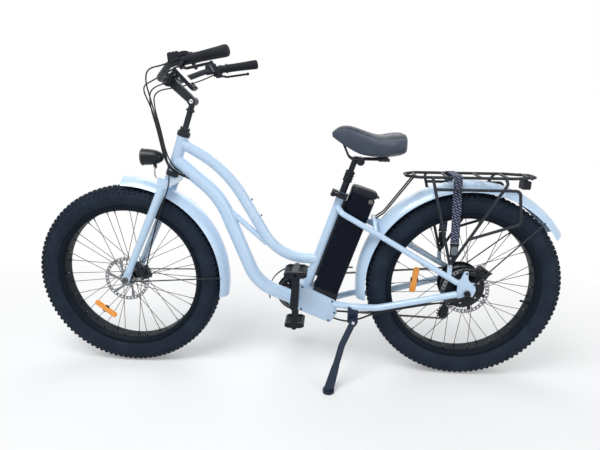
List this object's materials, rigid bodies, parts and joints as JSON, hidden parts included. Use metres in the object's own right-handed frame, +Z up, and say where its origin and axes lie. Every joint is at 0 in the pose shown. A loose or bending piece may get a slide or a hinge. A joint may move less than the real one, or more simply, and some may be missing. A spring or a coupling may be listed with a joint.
{
  "type": "fat tire bike",
  "caption": "White step-through fat tire bike with hub motor, battery behind the seat tube, fenders, rear rack, swept bars and kickstand; wheels, steering, cranks and levers move.",
  "frame": {"origin": "on the ground, midway between the two wheel hubs", "axes": "+X forward, +Y to the rider's left, +Z up"},
  "size_m": [2.06, 0.6538, 1.2284],
  "materials": {
    "white_paint": "gloss white paint",
    "black_paint": "satin black",
    "black_plastic": "fine-grained black plastic",
    "gloss_black": "glossy black shell",
    "red_lens": "clear red lens in a black back",
    "bright_steel": "brushed steel",
    "tyre_rubber": "black tread rubber",
    "grip_rubber": "ribbed black rubber",
    "cable_sheath": "smooth black sheath",
    "saddle_cover": "grained black cover",
    "strap_web": "woven dark webbing"
  },
  "bodies": {
    "frame": {"main_frame": "white_paint", "headset_cups": "black_paint", "seat_stays": "white_paint", "chain_stays": "white_paint", "controller_box": "white_paint", "battery_dock": "black_plastic", "seat_clamp": "black_paint", "seat_post": "black_paint", "rear_fender": "white_paint", "rear_axle": "bright_steel", "rear_caliper": "black_paint", "chain": "bright_steel", "derailleur": "black_paint", "chain_guard": "black_plastic", "kickstand_bracket": "black_paint", "rack": "black_paint", "tail_light": "red_lens", "strap": "strap_web", "frame_cables": "cable_sheath"},
    "steering": {"fork": "white_paint", "stem": "black_paint", "handlebar": "black_paint", "left_grip": "grip_rubber", "right_grip": "grip_rubber", "left_controls": "black_plastic", "right_controls": "black_plastic", "display": "black_plastic", "headlight_bracket": "black_paint", "front_fender": "white_paint", "front_axle": "bright_steel", "front_caliper": "black_paint", "front_brake_cable": "cable_sheath", "steer_cables": "cable_sheath"},
    "front_wheel": {"front_tyre": "tyre_rubber", "front_rim": "black_paint", "front_hub": "black_paint", "front_rotor": "bright_steel"},
    "rear_wheel": {"rear_tyre": "tyre_rubber", "rear_rim": "black_paint", "rear_hub": "black_paint", "rear_rotor": "bright_steel"},
    "crank": {"crankset": "black_paint"},
    "left_pedal": {"left_pedal": "black_plastic"},
    "right_pedal": {"right_pedal": "black_plastic"},
    "freewheel": {"freewheel": "bright_steel"},
    "upper_jockey": {"upper_jockey": "black_plastic"},
    "lower_jockey": {"lower_jockey": "black_plastic"},
    "left_brake": {"left_brake_blade": "black_paint"},
    "right_brake": {"right_brake_blade": "black_paint"},
    "throttle": {"throttle_lever": "black_plastic"},
    "assist_key": {"assist_button": "black_plastic"},
    "shifter": {"shift_lever": "black_plastic"},
    "lamp": {"headlight": "gloss_black"},
    "kickstand": {"kickstand_leg": "black_paint"},
    "seat": {"seat_post_head": "black_paint", "saddle_cushion": "saddle_cover", "saddle_rails": "black_paint"},
    "clamp_lever": {"seat_clamp_lever": "black_paint"},
    "battery_pack": {"battery": "black_plastic"},
    "key": {"battery_key": "bright_steel"}
  },
  "joints": [
    {"name": "steering", "type": "hinge", "parent": "frame", "child": "steering", "pos_m": [0.4654, 0, 0.8], "axis": [-0.3256, 0, 0.9455], "range_deg": [-40, 40], "deforming": ["steer_cables"]},
    {"name": "front_wheel_spin", "type": "hinge", "parent": "steering", "child": "front_wheel", "pos_m": [0.66, 0, 0.37], "axis": [0, 1, 0], "continuous": true},
    {"name": "rear_wheel_spin", "type": "hinge", "parent": "frame", "child": "rear_wheel", "pos_m": [-0.66, 0, 0.37], "axis": [0, 1, 0], "continuous": true},
    {"name": "crank_spin", "type": "hinge", "parent": "frame", "child": "crank", "pos_m": [-0.01, 0, 0.287], "axis": [0, 1, 0], "continuous": true},
    {"name": "left_pedal_spin", "type": "hinge", "parent": "crank", "child": "left_pedal", "pos_m": [-0.02151, 0.1333, 0.4516], "axis": [0, 1, 0], "continuous": true},
    {"name": "right_pedal_spin", "type": "hinge", "parent": "crank", "child": "right_pedal", "pos_m": [0.00151, -0.1333, 0.1224], "axis": [0, 1, 0], "continuous": true},
    {"name": "freewheel_spin", "type": "hinge", "parent": "frame", "child": "freewheel", "pos_m": [-0.66, -0.065, 0.37], "axis": [0, 1, 0], "continuous": true},
    {"name": "upper_jockey_spin", "type": "hinge", "parent": "frame", "child": "upper_jockey", "pos_m": [-0.64, -0.065, 0.282], "axis": [0, 1, 0], "continuous": true},
    {"name": "lower_jockey_spin", "type": "hinge", "parent": "frame", "child": "lower_jockey", "pos_m": [-0.616, -0.065, 0.214], "axis": [0, 1, 0], "continuous": true},
    {"name": "left_brake_pull", "type": "hinge", "parent": "steering", "child": "left_brake", "pos_m": [0.33115, 0.27027, 1.16296], "axis": [0.3311, 0.5638, 0.7566], "range_deg": [0, 11], "stiffness_Nm_per_rad": 4, "springref_deg": -2.86},
    {"name": "right_brake_pull", "type": "hinge", "parent": "steering", "child": "right_brake", "pos_m": [0.33115, -0.27027, 1.16296], "axis": [-0.3311, 0.5638, -0.7566], "range_deg": [0, 11], "stiffness_Nm_per_rad": 4, "springref_deg": -2.86},
    {"name": "throttle_push", "type": "hinge", "parent": "steering", "child": "throttle", "pos_m": [0.30911, 0.24891, 1.18852], "axis": [0.9289, -0.3357, -0.1564], "range_deg": [0, 35], "stiffness_Nm_per_rad": 0.4, "springref_deg": -5.73},
    {"name": "assist_button_press", "type": "slide", "parent": "steering", "child": "assist_key", "axis": [-0.147, 0.0531, -0.9877], "range_m": [0, 0.0015], "stiffness_N_per_m": 400, "springref_m": -0.001},
    {"name": "shift_lever_push", "type": "hinge", "parent": "steering", "child": "shifter", "pos_m": [0.33819, -0.2384, 1.18362], "axis": [0.147, 0.0531, 0.9877], "range_deg": [0, 25]},
    {"name": "headlight_tilt", "type": "hinge", "parent": "steering", "child": "lamp", "pos_m": [0.536, 0, 0.811], "axis": [0, 1, 0], "range_deg": [-12, 12]},
    {"name": "kickstand_fold", "type": "hinge", "parent": "frame", "child": "kickstand", "pos_m": [-0.24, 0.1, 0.236], "axis": [0, 0.9397, 0.342], "range_deg": [0, 105]},
    {"name": "seat_post_sink", "type": "slide", "parent": "frame", "child": "seat", "axis": [-0.3256, 0, 0.9455], "range_m": [-0.03, 0], "stiffness_N_per_m": 6000, "springref_m": 0.01},
    {"name": "seat_clamp_open", "type": "hinge", "parent": "frame", "child": "clamp_lever", "pos_m": [-0.15199, 0.032, 0.72828], "axis": [0.3256, 0, -0.9455], "range_deg": [0, 150]},
    {"name": "battery_slide", "type": "slide", "parent": "frame", "child": "battery_pack", "axis": [-0.3256, 0, 0.9455], "range_m": [0, 0.06]},
    {"name": "battery_key_turn", "type": "hinge", "parent": "battery_pack", "child": "key", "pos_m": [-0.29244, 0.038, 0.70001], "axis": [0, 1, 0], "range_deg": [0, 90]}
  ],
  "couplings": [
    {"joint": "freewheel_spin", "follows": "crank_spin", "ratio": 1.5},
    {"joint": "upper_jockey_spin", "follows": "crank_spin", "ratio": -3.2727},
    {"joint": "lower_jockey_spin", "follows": "crank_spin", "ratio": 3.2727}
  ]
}
